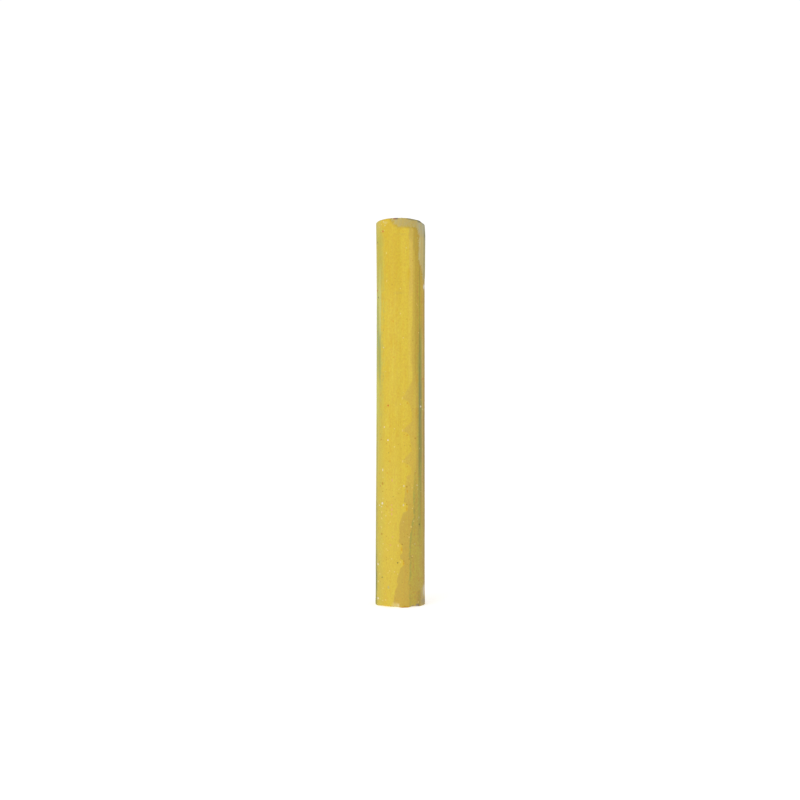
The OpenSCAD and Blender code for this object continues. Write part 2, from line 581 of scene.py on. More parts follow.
CHIPS = (
    Chip(-9, 0, 2.8, 1.3, 0.20, 0.1), Chip(-34, 0, 7.0, 0.8, 0.03, 0.2), Chip(34, 0, 3.6, 0.8, 0.12, 0.2),
    Chip(84, 3.4, 2.6, 1.8, 0.18), Chip(88, 9, 10, 11, 0.06), Chip(-86, 4, 8, 6, 0.05),
    Chip(160, 0, 3.0, 1.0, 0.20, 0.15), Chip(-118, 0, 2.0, 0.7, 0.15, 0.1),
    Chip(76, 91.2, 1.1, 0.8, 0.16), Chip(-14, LENGTH, 1.0, 0.4, 0.10),
    Chip(118, LENGTH, 2.4, 0.8, 0.20), Chip(-150, LENGTH, 1.8, 0.5, 0.13),
)


# ---------------------------------------------------------------- the stick

@dataclass(frozen=True)
class Relief:
    """One layer of relief: noise with features of a size, as deep as its strength."""

    name: str
    size: tuple[float, float, float]
    strength: float
    octaves: int
    area: str = "side"
    turn: float = 0.0


@dataclass(frozen=True)
class Rub:
    """A place where use has pushed the head's edge in and down, softly over a reach."""

    bearing: float
    reach: float
    inward: float
    down: float


@dataclass(frozen=True)
class Crease:
    """A groove or a ridge that runs along the stick.

    Its section says how many degrees from its bearing its slope starts and where it is full, and
    the other spans are the heights over which it sets in and fades out.
    """

    bearing: float
    relief: float
    section: Span
    sets_in: Span = (-2, -1)
    fades_out: Span = (LENGTH + 3, LENGTH + 2)


@dataclass
class Stick:
    """The wax stick, made as the real one is: cast, cut at the head, rubbed, dragged and chipped."""

    # the form: flares, edges, the head's low crown and slope, and how the stick has warped
    foot_swell: float = 0.12
    foot_flare: float = 56.0
    head_swell: float = 0.2
    head_flare: float = 22.0
    foot_edge: float = 0.12
    head_edge: float = 0.3
    head_crown: float = 0.1
    head_slope: float = math.radians(0.9)
    cut_loss: float = 0.14
    bow: float = 0.09
    lean: float = 0.135
    rubs: tuple[Rub, ...] = (
        Rub(66, 2.4, 0.2, 0.3),
        Rub(36, 2.0, 0.08, 0.06),
        Rub(92, 2.0, 0.12, 0.24),
    )
    # the cage: its rings, and how far the first and last ring of the side lie from its ends
    sides: int = 48
    ring_step: float = 0.92
    foot_gap: float = 0.35
    head_gap: float = 0.8
    smoothing: int = 2
    # how far the cast runs past the cut, and the lattice past the stick
    spare: float = 1.0
    lattice_width: float = 16.0
    # the end faces: how many rings they have, how wide the outermost is, what the rings leave of
    # the radius, and how far under the full length the head's face may lie
    face_rings: int = 6
    face_rim: float = 0.3
    face_middle: float = 0.4
    face_drop: float = 2.0
    # the relief, which starts a little over the foot, sets in gradually and is weaker on the ends
    reliefs: tuple[Relief, ...] = (
        Relief("mould_waves", (7.0, 7.0, 16.0), 0.05, 1),
        Relief("dents", (2.2, 2.2, 3.2), 0.035, 2),
        Relief("drag_lines", (0.55, 0.55, 14.0), 0.03, 1),
        Relief("grain", (0.5, 0.5, 0.6), 0.018, 2),
        Relief("cut_marks", (6.0, 0.45, 0.6), 0.05, 1, "head", math.radians(35)),
    )
    relief_origin: tuple[float, float, float] = (31.0, 17.0, 43.0)
    calm_foot: float = 0.1
    calm_fade: float = 0.6
    calm_ends: float = 0.6
    # how far the borders stand out, how wide they are, and where they set in and fade out
    skin_step: float = 0.045
    step_half_width: float = 0.12
    step_starts: Span = (-80, -60)
    step_fades: Span = (56, 52)
    faint_step: float = 0.3
    khaki_lip: float = 0.02
    lip_half_width: float = 0.35
    lip_ends: Span = (34, 28)
    dust_coat: float = 0.07
    dust_edge: Span = (-0.2, 0.3)
    dust_starts: Span = (55, 72)
    dust_ends: Span = (93, 91)
    creases: tuple[Crease, ...] = (
        Crease(54, -0.09, (8, 1), (18, 30), (74, 64)),
        Crease(62, 0.04, (4, 0), (20, 40)),
        Crease(-70, -0.05, (5, 0), fades_out=(56, 46)),
    )
    # specks: the size that even the smallest counts as, and how many sizes one reaches
    least_speck: float = 0.2
    speck_reach: float = 1.6
    # chips: the share of one that is full depth, and how far from the axis they set in
    chip_core: float = 0.3
    chip_starts: Span = (WAIST_R - 1.2, WAIST_R - 0.4)
    piece: bpy.types.Object = field(init=False)

    def radius(self, height: float) -> float:
        """Adds the flares to the stick's waist.

        Args:
            height: A height.

        Returns:
            The stick's radius there.
        """
        foot = max(0.0, 1 - height / self.foot_flare) ** 2 * self.foot_swell
        head = max(0.0, 1 - (LENGTH - height) / self.head_flare) ** 2 * self.head_swell
        return WAIST_R + foot + min(head, self.head_swell)

    def rings(self) -> list[tuple[float, float]]:
        """Lays out the cage's rings, from the foot's edge to past the head's cut.

        Returns:
            Each ring's radius and height.
        """
        edge = self.foot_edge
        rings = []
        for angle in (-90, -60, -30, 0):
            turn = math.radians(angle)
            rings.append((self.radius(0) - edge + edge * math.cos(turn), edge + edge * math.sin(turn)))
        start, end = edge + self.foot_gap, LENGTH - self.head_gap
        count = round((end - start) / self.ring_step)
        for step in range(count + 1):
            height = start + (end - start) * step / count
            rings.append((self.radius(height), height))
        rings.append((self.radius(LENGTH), LENGTH + self.spare))
        return rings

    def cast(self) -> None:
        """Casts the barrel: a disc that is extruded upwards and widened, ring by ring."""
        rings = self.rings()
        # a subdivided ring shrinks a little inside its cage
        swell = 3 / (2 + math.cos(math.tau / self.sides))
        bpy.ops.object.select_all(action="DESELECT")
        bpy.ops.mesh.primitive_circle_add(vertices=self.sides, radius=rings[0][0] * swell * MM,
                                          fill_type="NGON")
        self.piece = bpy.context.object
        self.piece.name = "wax_stick"
        bpy.ops.object.mode_set(mode="EDIT")
        for (radius, height), (next_radius, next_height) in zip(rings, rings[1:]):
            bpy.ops.mesh.extrude_region_move(
                TRANSFORM_OT_translate={"value": (0, 0, (next_height - height) * MM)})
            share = next_radius / radius
            bpy.ops.transform.resize(value=(share, share, 1), center_override=(0, 0, next_height * MM))
        bpy.ops.mesh.select_all(action="SELECT")
        bpy.ops.mesh.normals_make_consistent(inside=False)

    def cut_head(self) -> None:
        """Cuts the head askew and breaks the cut's edge."""
        cut = LENGTH - self.head_crown - self.cut_loss
        normal = Vector((math.sin(self.head_slope), 0, math.cos(self.head_slope)))
        bpy.ops.mesh.select_all(action="SELECT")
        bpy.ops.mesh.bisect(plane_co=(0, 0, cut * MM), plane_no=normal, use_fill=True, clear_outer=True)
        under_cut = (LENGTH - self.face_drop) * MM
        select_faces(self.piece, lambda face: face.center.z > under_cut and face.normal.z > 0.9)
        bpy.ops.mesh.select_mode(type="EDGE")
        bpy.ops.mesh.region_to_loop()
        bpy.ops.mesh.bevel(offset=self.head_edge * MM, segments=3, profile=0.5, affect="EDGES")

    def ring_faces(self) -> None:
        """Lays rings into both end faces, and raises the head's low crown."""
        middle = LENGTH / 2 * MM
        width = (WAIST_R - self.face_middle) / (self.face_rings + 0.5)
        for head in (True, False):
            select_faces(self.piece, lambda face: (
                len(face.vertices) >= self.sides and (face.center.z > middle) == head))
            for ring in range(self.face_rings):
                share = (ring + 0.5) / self.face_rings
                rise = self.head_crown * (1 - share) / self.face_rings * 2 if head else 0.0
                thickness = self.face_rim if ring == 0 else width
                bpy.ops.mesh.inset(thickness=thickness * MM, depth=rise * MM)

    def rub_shoulder(self) -> None:
        """Rubs the head's edge round at the right front, softly, one place after another."""
        for rub in self.rubs:
            turn = math.radians(rub.bearing)
            out = Vector((math.sin(turn), -math.cos(turn), 0))
            centre = (out * self.radius(LENGTH) + Vector((0, 0, LENGTH))) * MM
            bpy.ops.mesh.select_mode(type="VERT")
            bpy.ops.mesh.select_all(action="DESELECT")
            bpy.ops.object.mode_set(mode="OBJECT")
            nearest = min(self.piece.data.vertices, key=lambda vertex: (vertex.co - centre).length)
            nearest.select = True
            bpy.ops.object.mode_set(mode="EDIT")
            bpy.ops.transform.translate(value=(-out * rub.inward - Vector((0, 0, rub.down))) * MM,
                                        use_proportional_edit=True, proportional_edit_falloff="SMOOTH",
                                        proportional_size=rub.reach * MM)
        bpy.ops.object.mode_set(mode="OBJECT")

    def apply(self, modifier: bpy.types.Modifier) -> None:
        """Works one of the stick's modifiers into its mesh."""
        take_up(self.piece)
        bpy.ops.object.modifier_apply(modifier=modifier.name)

    def settle(self) -> None:
        """Gives the stick the slight bow and lean that it cooled with, on a lattice."""
        bpy.ops.object.add(type="LATTICE", location=(0, 0, LENGTH / 2 * MM))
        lattice = bpy.context.object
        lattice.data.points_u, lattice.data.points_v, lattice.data.points_w = 2, 2, 3
        lattice.scale = (self.lattice_width * MM, self.lattice_width * MM, (LENGTH + self.spare) * MM)
        for point in lattice.data.points:
            level = point.co.z + 0.5
            shift = self.bow * (1 - (2 * level - 1) ** 2) + self.lean * (level - 0.5)
            point.co_deform.x += shift * MM / lattice.scale.x
        modifier = self.piece.modifiers.new("settled", "LATTICE")
        modifier.object = lattice
        self.apply(modifier)
        take_up(lattice)
        bpy.ops.object.delete()

    def refine(self) -> None:
        """Subdivides the cage into the fine surface that carries the relief."""
        modifier = self.piece.modifiers.new("refined", "SUBSURF")
        modifier.levels = modifier.render_levels = self.smoothing
        self.apply(modifier)

    def mark_areas(self) -> None:
        """Marks, as vertex groups, the side that may be roughened and the cut face of the head."""
        side = self.piece.vertex_groups.new(name="side")
        head = self.piece.vertex_groups.new(name="head")
        for vertex in self.piece.data.vertices:
            height = vertex.co.z / MM
            flat = max(0.0, vertex.normal.z)
            risen = min(1.0, max(0.0, (height - self.calm_foot) / self.calm_fade))
            side.add([vertex.index], risen * (1 - self.calm_ends * flat), "REPLACE")
            head.add([vertex.index], flat if height > LENGTH - self.face_drop else 0.0, "REPLACE")

    def roughen(self) -> None:
        """Works mould waves, drag lines, grain and cut marks into the surface with displaced noise."""
        self.mark_areas()
        for relief in self.reliefs:
            texture = bpy.data.textures.new(relief.name, "CLOUDS")
            texture.noise_scale = 1.0
            texture.noise_depth = relief.octaves
            origin = tuple(length * MM for length in self.relief_origin)
            bpy.ops.object.empty_add(location=origin, rotation=(0, 0, relief.turn))
            guide = bpy.context.object
            guide.scale = tuple(length * MM for length in relief.size)
            bpy.context.view_layer.update()
            modifier = self.piece.modifiers.new(relief.name, "DISPLACE")
            modifier.texture = texture
            modifier.texture_coords = "OBJECT"
            modifier.texture_coords_object = guide
            modifier.strength = relief.strength * MM
            modifier.mid_level = 0.5
            modifier.vertex_group = relief.area
            self.apply(modifier)
            take_up(guide)
            bpy.ops.object.delete()

    def carve(self) -> None:
        """Carves what is listed: skin steps, creases, specks and chips, and keeps the borders."""
        mesh = self.piece.data
        count = len(mesh.vertices)
        flat_points, flat_normals = np.zeros(count * 3), np.zeros(count * 3, np.float32)
        mesh.vertices.foreach_get("co", flat_points)
        mesh.vertex_normals.foreach_get("vector", flat_normals)
        points = flat_points.reshape(-1, 3) / MM
        normals = flat_normals.reshape(-1, 3).astype(float)
        height = points[:, 2].copy()
        bearing = np.degrees(np.arctan2(points[:, 0], -points[:, 1]))
        offsets = {border.name: border.offset(bearing, height) for border in BORDERS}
        points += normals * self.steps(bearing, height, normals, offsets)[:, None]
        for speck in SPECKS:
            self.press(points, normals, speck)
        for chip in CHIPS:
            self.break_off(points, bearing, height, chip)
        mesh.vertices.foreach_set("co", (points * MM).ravel())
        for name, offset in offsets.items():
            attribute = mesh.attributes.new(name, "FLOAT", "POINT")
            attribute.data.foreach_set("value", np.clip(offset, -KEPT, KEPT).astype(np.float32))
        mesh.update()

    def steps(self, bearing: np.ndarray, height: np.ndarray, normals: np.ndarray,
              offsets: dict[str, np.ndarray]) -> np.ndarray:
        """Works out how far the long features push the side out.

        Args:
            bearing: The points' bearings.
            height: The points' heights.
            normals: The normals at the points.
            offsets: The points' distances from each border.

        Returns:
            Millimetres along the normals.
        """
        borders = (TAN_BORDER, KHAKI_BORDER, RUB_BORDER)
        past_tan, past_khaki, past_rub = (offsets[border.name] for border in borders)
        # the fresh wax stands out a step over the old skin, and only faintly near the head
        step = self.faint_step + (1 - self.faint_step) * smooth(height, *self.step_fades)
        step *= smooth(past_tan, self.step_half_width, -self.step_half_width)
        step *= smooth(bearing, *self.step_starts)
        lip = smooth(np.abs(past_khaki), self.lip_half_width, 0) * smooth(height, *self.lip_ends)
        coat = smooth(past_rub, *self.dust_edge) * smooth(bearing, *self.dust_starts)
        coat *= smooth(height, *self.dust_ends)
        rise = self.skin_step * step + self.khaki_lip * lip + self.dust_coat * coat
        for crease in self.creases:
            section = smooth(np.abs(bearing - crease.bearing), *crease.section)
            run = smooth(height, *crease.sets_in) * smooth(height, *crease.fades_out)
            rise += crease.relief * section * run
        return rise * smooth(np.abs(normals[:, 2]), 0.8, 0.4)

    def press(self, points: np.ndarray, normals: np.ndarray, speck: Speck) -> None:
        """Presses one pit or raises one crumb.

        Args:
            points: The mesh's points, which are changed.
            normals: The normals at those points.
            speck: Where, how large and how far.
        """
        turn = math.radians(speck.bearing)
        radius = self.radius(speck.height)
        away = points - (radius * math.sin(turn), -radius * math.cos(turn), speck.height)
        away[:, 2] /= speck.form.value
        distance = np.linalg.norm(away, axis=1)
        reach = max(speck.size, self.least_speck) * self.speck_reach
        near = distance < reach
        points[near] += normals[near] * (smooth(distance[near], reach, 0) * speck.relief)[:, None]

    def break_off(self, points: np.ndarray, bearing: np.ndarray, height: np.ndarray, chip: Chip) -> None:
        """Breaks a shallow scoop out of an edge, towards the axis.

        Args:
            points: The mesh's points, which are changed.
            bearing: The points' bearings.
            height: The points' heights.
            chip: Where, how large and how deep.
        """
        turn = (bearing - chip.bearing + 180) % 360 - 180
        far = np.hypot(turn * DEGREE * 2 / chip.width, (height - chip.height) / chip.tall)
        radius = np.hypot(points[:, 0], points[:, 1])
        place = smooth(far, 1, self.chip_core) * smooth(radius, *self.chip_starts)
        bite = chip.depth * place
        points[:, 0] -= bite * np.sin(np.radians(bearing))
        points[:, 1] += bite * np.cos(np.radians(bearing))
        points[:, 2] += chip.lift * place

    def build(self) -> bpy.types.Object:
        """Makes the whole stick.

        Returns:
            The finished piece.
        """
        self.cast()
        self.cut_head()
        self.ring_faces()
        self.rub_shoulder()
        self.settle()
        self.refine()
        self.roughen()
        self.carve()
        take_up(self.piece)
        bpy.ops.object.shade_smooth()
        return self.piece

    def dress(self, material: bpy.types.Material) -> None:
        """Gives the stick the one material that it is cast from."""
        self.piece.data.materials.append(material)


# ---------------------------------------------------------------- node groups

def place_group() -> bpy.types.NodeTree:
    """Makes the group that tells where a point lies on the stick.

    Returns:
        The group. It gives the place in millimetres, the same place unrolled (round the girth,
        height, 0), the bearing, the height and the distance from the axis.
    """
    group, _, gives = new_group("stick place", {}, {
        "Place": "Vector", "Unrolled": "Vector", "Bearing": "Float", "Height": "Float", "Radius": "Float"})
    bench = Bench(group)
    coordinates = bench.add("TexCoord")
    place = bench.vector("MULTIPLY", coordinates.outputs["Object"], (1 / MM,) * 3).outputs[0]
    apart = bench.add("SeparateXYZ")
    bench.feed(apart.inputs[0], place)
    turn = bench.maths("ARCTAN2", apart.outputs["X"], bench.times(apart.outputs["Y"], -1.0))
    around = bench.times(turn, WAIST_R)
    together = bench.add("CombineXYZ")
    bench.feed(together.inputs["X"], around)
    bench.feed(together.inputs["Y"], apart.outputs["Z"])
    level = bench.vector("MULTIPLY", place, (1.0, 1.0, 0.0)).outputs[0]
    bench.feed(gives["Place"], place)
    bench.feed(gives["Unrolled"], together.outputs[0])
    bench.feed(gives["Bearing"], bench.maths("DEGREES", turn))
    bench.feed(gives["Height"], apart.outputs["Z"])
    bench.feed(gives["Radius"], bench.vector("LENGTH", level).outputs["Value"])
    return group


@cache
def patch_group() -> bpy.types.NodeTree:
    """Makes the group that masks a patch: full inside, nothing outside, its edges shaken by noises.

    Returns:
        The group.
    """
    group, takes, gives = new_group("patch", {
        "Bearing": "Float", "Height": "Float", "Drift": "Float", "Fray": "Float", "Wander": "Float",
        "Centre": "Float", "Full across": "Float", "End across": "Float",
        "Middle": "Float", "Full along": "Float", "End along": "Float"}, {"Mask": "Float"})
    bench = Bench(group)
    both = bench.maths("MULTIPLY_ADD", takes["Fray"], 0.4, takes["Drift"])
    shake = bench.times(both, takes["Wander"])
    turn = bench.maths("SUBTRACT", bench.maths("ADD", takes["Bearing"], shake), takes["Centre"])
    turn = bench.maths("ABSOLUTE", bench.maths("WRAP", turn, 180.0, -180.0))
    across = bench.ramp(turn, takes["End across"], takes["Full across"])
    rise = bench.maths("MULTIPLY_ADD", shake, 0.4, takes["Height"])
    rise = bench.maths("SUBTRACT", rise, takes["Middle"])
    along = bench.ramp(bench.maths("ABSOLUTE", rise), takes["End along"], takes["Full along"])
    bench.feed(gives["Mask"], bench.times(across, along))
    return group


@cache
def pepper_group() -> bpy.types.NodeTree:
    """Makes the group that masks fine marks: a dot in some cells of a random pattern in space.

    Returns:
        The group.
    """
    group, takes, gives = new_group("pepper", {"Place": "Vector", "Per mm": "Float", "Share": "Float"},
                                    {"Mask": "Float"})
    bench = Bench(group)
    cells = bench.add("TexVoronoi")
    bench.feed(cells.inputs["Vector"], takes["Place"])
    bench.feed(cells.inputs["Scale"], takes["Per mm"])
    dice = bench.add("SeparateColor")
    bench.feed(dice.inputs[0], cells.outputs["Color"])
    chosen = bench.maths("LESS_THAN", dice.outputs["Red"], takes["Share"])
    reach = bench.maths("MULTIPLY_ADD", dice.outputs["Green"], 0.2, 0.16)
    near = bench.ramp(cells.outputs["Distance"], reach, bench.times(reach, 0.5))
    bench.feed(gives["Mask"], bench.times(near, chosen))
    return group


@cache
def scratch_group() -> bpy.types.NodeTree:
    """Makes the group that masks fine scratches, which climb the stick at a slant, in places.

    Returns:
        The group.
    """
    group, takes, gives = new_group("scratches", {"Place": "Vector", "Slant": "Float", "Shift": "Float"},
                                    {"Mask": "Float"})
    bench = Bench(group)
    apart = bench.add("SeparateXYZ")
    bench.feed(apart.inputs[0], takes["Place"])
    twist = bench.add("VectorRotate", rotation_type="Z_AXIS")
    bench.feed(twist.inputs["Vector"], takes["Place"])
    bench.feed(twist.inputs["Angle"], bench.times(apart.outputs["Z"], takes["Slant"]))
    moved = bench.vector("ADD", twist.outputs[0], takes["Shift"]).outputs[0]
    line = bench.ramp(bench.noise(moved, Noise(0.16, 1, 0.5, (1, 1, 32))), 0.66, 0.74)
    where = bench.ramp(bench.noise(moved, Noise(3.0, 1, 0.5, (1, 1, 2))), 0.5, 0.62)
    bench.feed(gives["Mask"], bench.times(line, where))
    return group


@cache
def edge_group() -> bpy.types.NodeTree:
    """Makes the group that masks what lies past a border, whose edge noise tears and which is soft.

    Returns:
        The group.
    """
    group, takes, gives = new_group(
        "torn edge", {"Distance": "Float", "Noise": "Float", "Shake": "Float", "Softness": "Float"},
        {"Mask": "Float"})
    bench = Bench(group)
    centred = bench.maths("SUBTRACT", takes["Noise"], 0.5)
    shaken = bench.maths("MULTIPLY_ADD", centred, takes["Shake"], takes["Distance"])
    bench.feed(gives["Mask"], bench.ramp(bench.maths("DIVIDE", shaken, takes["Softness"]), -1.0, 1.0))
    return group


def speck_group(mark: Mark) -> bpy.types.NodeTree:
    """Makes the group that masks all the specks of one kind.

    Args:
        mark: The kind.

    Returns:
        The group, which takes the unrolled place.
    """
    group, takes, gives = new_group(f"{mark.name.lower()} specks", {"Unrolled": "Vector"},
                                    {"Mask": "Float"})
    bench = Bench(group)
    drawn = {form: bench.vector("MULTIPLY", takes["Unrolled"], (1, 1 / form.value, 1)).outputs[0]
             for form in Form}
    mask: object = 0.0
    for speck in SPECKS:
        if speck.mark is mark:
            centre = (speck.around(), speck.height / speck.form.value, 0)
            away = bench.vector("DISTANCE", drawn[speck.form], centre).outputs["Value"]
            mask = bench.ramp(away, speck.size * 1.3, speck.size * 0.6, mask)
    bench.feed(gives["Mask"], mask)
    return group


# ---------------------------------------------------------------- the finish

@dataclass(frozen=True)
class Scratch:
    """Fine scratches that climb the stick, slanting by so many radians in each millimetre."""

    slant: float
    shift: float
    strength: float


@dataclass(frozen=True)
class WaxFinish:
    """The wax's colours by zone, and how its surface takes light."""

    yellow: Colour = srgb(212, 184, 57)
    amber: Colour = srgb(210, 178, 46)
    straw: Colour = srgb(219, 193, 74)
    # tan, pale tan and khaki colour the old skin at the right, which is darker partly as painted shade of
    # the side turned away from the key
    tan: Colour = srgb(199, 168, 67)
    pale_tan: Colour = srgb(211, 180, 70)
    khaki: Colour = srgb(188, 164, 66)
    sage: Colour = srgb(194, 181, 76)
    dust: Colour = srgb(184, 167, 106)
    tan_dust: Colour = srgb(190, 167, 92)
    scraped: Colour = srgb(206, 188, 92)
    # umber: painted shade just under the edge of the head's rub
    umber: Colour = srgb(182, 153, 52)
    moss: Colour = srgb(152, 156, 72)
    dirt: Colour = srgb(120, 112, 66)
    # the noises that break the colours up, in millimetres
    wobble: Noise = Noise(0.7)
    blotch: Noise = Noise(1.6, stretch=(1, 1, 2.2), shift=9)
    streak: Noise = Noise(0.45, 2, stretch=(1, 1, 18), shift=4)
    ragged: Noise = Noise(0.6, 3, 0.7, (1, 1, 2.5), 61)
    flakes: Noise = Noise(2.0, 4, 0.65, (1, 1, 3.2), 37)
    scuffs: Noise = Noise(2.6, 5, 0.7, (1, 1, 4), 53)
    grain: Noise = Noise(0.33, 4, 0.7, (1, 1, 1.4), 21)
    scrape: Noise = Noise(0.35, 3, 0.6, (12, 1, 3), 5)
    cloud: Noise = Noise(2.4, shift=17)
    # the noises of its relief and its sheen
    fine: Noise = Noise(0.11, 4, 0.65, shift=13)
    drag: Noise = Noise(0.22, 2, stretch=(1, 1, 25), shift=2)
    gloss: Noise = Noise(0.8, 4, stretch=(1, 1, 3), shift=31)
    # bearings over which a zone sets in or ends
    front_starts: Span = (-112.0, -97.0)
    old_starts: Span = (36.0, 46.0)
    flakes_start: Span = (76.0, 96.0)
    flakes_end: Span = (150.0, 120.0)
    back_starts: Span = (112.0, 128.0)
    # heights over which a zone changes, sets in or ends
    sage_softens: Span = (66.0, 78.0)
    skin_softens: Span = (52.0, 57.0)
    skin_pales: Span = (20.0, 32.0)
    khaki_softens: Span = (33.0, 40.0)
    khaki_ends: Span = (36.0, 28.0)
    fringe_ends: Span = (30.0, 25.0)
    pepper_thickens: Span = (62.0, 34.0)
    face_starts: Span = (90.0, 93.0)
    # distances from the axis over which the head's cut face ends
    face_ends: Span = (5.95, 5.6)
    # the turn of the head's scrape marks, the scratches, and how far one pepper's pattern is moved
    scrape_turn: float = math.radians(35)
    scratches: tuple[Scratch, ...] = (Scratch(0.02, 3.0, 0.5), Scratch(-0.03, 11.0, 0.45))
    scratch_depth: float = 0.8
    pepper_apart: float = 7.0
    # the ragged outlines of blots and specks, and how much of a speck's colour shows
    outline_per_mm: float = 3.5
    blot_shake: float = 0.7
    speck_shake: float = 0.3
    speck_share: float = 0.85
    # how the surface takes light: from its sleekest to its roughest, and how deep its relief is
    sleek: float = 0.44
    rough: float = 0.62
    specular: float = 0.3
    subsurface: float = 0.08
    subsurface_reach: tuple[float, float, float] = (0.6, 0.35, 0.1)
    relief_strength: float = 0.4
    relief_depth: float = 0.03
    fresh: tuple[Patch, ...] = (
        Patch("head warmth", srgb(207, 175, 42), (-42, 3), (76, 97), (16, 10), 0.7),
        Patch("honey band", srgb(220, 191, 62), (3, 44), (-5, 97), (12, 3), 0.75),
        Patch("buff seam", srgb(215, 184, 84), (21, 36), (74, 92), (4, 4), 0.8, 3),
        Patch("seam shade", srgb(196, 168, 76), (20, 40), (89.5, 94), (6, 2), 0.6, 3),
        Patch("pale seam", srgb(222, 194, 76), (19, 34), (54, 76), (5, 4), 0.7, 3),
        Patch("lemon foot", srgb(214, 187, 68), (-58, 2), (-5, 34), (14, 16), 0.6),
        Patch("lime side", srgb(198, 182, 72), (-98, -44), (-5, 52), (24, 14), 0.65, 14),
        Patch("lime edge", srgb(200, 178, 62), (-60, -46), (44, 62), (8, 8), 0.6, 6),
        Patch("old skin", srgb(198, 170, 68), (-172, -145), (30, 46), (3, 1.5), 0.75, 44),
        Patch("old skin tail", srgb(194, 168, 66), (-170, -156), (20, 33), (3, 2), 0.7, 30),
        Patch("old skin high", srgb(200, 172, 66), (147, 170), (62, 77), (3, 1.5), 0.7, 40),
    )
    # old skin at the left and the right, with painted shade among the right side's patches
    aged_and_shaded: tuple[Patch, ...] = (
        Patch("sage bloom", srgb(190, 186, 102), (-74, -53), (64, 82), (6, 6), 0.9),
        Patch("sage shade", srgb(170, 172, 86), (-88, -63), (56, 74), (5, 5), 0.7, 8),
        Patch("green dusk", srgb(158, 162, 84), (-64, -54), (54, 67), (4, 5), 0.75, 3),
        Patch("sage head", srgb(182, 173, 72), (-72, -46), (78, 92), (18, 5), 0.65, 10),
        Patch("cream head", srgb(194, 182, 108), (-96, -52), (91.5, 98), (16, 3), 0.4, 14),
        Patch("pale thread", srgb(212, 204, 112), (-59.5, -56), (66, 82), (2, 6), 0.7, 2),
        Patch("green flank", srgb(198, 192, 84), (-86, -60), (44, 56), (6, 6), 0.7),
        Patch("lower thread", srgb(208, 196, 104), (-66, -62.5), (31, 46), (2, 3), 0.5, 1),
        Patch("moss thread", srgb(150, 150, 48), (-72, -68), (28, 46), (2, 4), 0.5, 1),
        # Of the patches below with positive bearings, the browns, khakis, rusts and olives grow darker
        # towards the right limb. They are partly old skin and partly painted shade of the side turned away
        # from the key.
        Patch("upper brown", srgb(204, 174, 67), (30, 60), (53, 97), (5, 4), 0.8),
        Patch("brown tip", srgb(174, 146, 58), (31, 46), (87, 93), (5, 2), 0.5, 2),
        Patch("umber", srgb(192, 162, 56), (36, 60), (56, 94), (4, 3), 0.9),
        Patch("mid brown", srgb(197, 168, 64), (39, 50), (26, 58), (4, 6), 0.8),
        Patch("olive haze", srgb(172, 158, 66), (45, 62), (18, 62), (4, 8), 0.9),
        # The dark olive and teal stripe from here to the dusky side, and the drab side further down, is
        # painted core shadow of the right side, laid over a shallow groove.
        Patch("olive stripe", srgb(148, 145, 62), (49, 56.5), (19, 67), (3, 6), 0.95, 1.5),
        Patch("stripe core", srgb(132, 138, 66), (51, 54.5), (34, 60), (2, 8), 0.6, 2),
        Patch("olive core shadow high", srgb(158, 148, 52), (49.5, 53), (62, 84), (2.5, 6), 0.7, 2),
        Patch("teal core", srgb(128, 140, 104), (51, 59), (44, 55), (3, 5), 0.5, 2),
        Patch("dusky side", srgb(172, 161, 84), (56.5, 61), (30, 70), (3, 8), 0.8, 2),
        # buff reflex: painted reflected light, beyond the core shadow
        Patch("buff reflected light", srgb(200, 170, 92), (60.5, 66), (24, 72), (2, 8), 0.9, 1.5),
        Patch("amber side", srgb(196, 162, 60), (59, 66), (66, 84), (3, 6), 0.8),
        Patch("ochre side", srgb(186, 160, 60), (55, 68), (-5, 26), (4, 6), 0.8),
        Patch("moss side", srgb(176, 160, 66), (46, 55), (15, 30), (5, 6), 0.8),
        Patch("rusty flank", srgb(180, 146, 56), (67, 92), (36, 84), (3, 8), 0.9, 3),
        Patch("rusty foot", srgb(176, 148, 42), (67, 92), (-5, 40), (3, 8), 0.9, 3),
        Patch("rusty back", srgb(182, 150, 54), (82, 108), (-5, 82), (12, 8), 0.8, 30),
        Patch("green limb", srgb(112, 116, 30), (-104, -68), (-4, 27), (16, 5), 0.32, 10),
        Patch("green heel", srgb(112, 116, 30), (-99, -69), (-4, 12.5), (12, 4), 0.45, 8),
        Patch("dark heel", srgb(104, 112, 34), (-98, -70), (3.8, 8), (12, 2), 0.5, 8),
        Patch("rusty dusk", srgb(158, 128, 50), (65, 84), (28, 48), (4, 8), 0.6),
        # drab side: more of the painted core shadow
        Patch("drab side", srgb(146, 136, 70), (54, 61), (34, 54), (3, 8), 0.4, 2),
        Patch("dim foot", srgb(170, 140, 58), (64, 90), (4, 22), (4, 4), 0.5),
        Patch("brown hollow", srgb(160, 136, 58), (44, 56), (-2, 4), (5, 2), 0.5),
        Patch("foot dust", srgb(184, 166, 124), (54, 76), (-2, 4), (6, 3), 0.5, 8),
        Patch("far khaki", srgb(190, 166, 68), (112, 150), (-5, 56), (8, 10), 0.8, 14),
    )
    worn: tuple[Patch, ...] = (
        Patch("pale dust", srgb(202, 184, 122), (44, 76), (79, 92), (14, 4), 0.7, 10),
        Patch("olive dust", srgb(174, 162, 100), (68, 108), (72, 97), (18, 8), 0.75, 16),
        Patch("blue dust", srgb(184, 180, 148), (44, 96), (91, 97), (20, 2.4), 0.85, 8),
        Patch("grey limb", srgb(146, 142, 100), (68, 80), (79.5, 92.5), (6, 4), 0.6, 5),
        Patch("rim grime", srgb(112, 112, 84), (16, 50), (94.15, 97), (14, 0.3), 0.8, 1),
        Patch("rim dirt", srgb(108, 108, 84), (44, 96), (93.85, 97), (8, 0.3), 0.8, 1),
    )
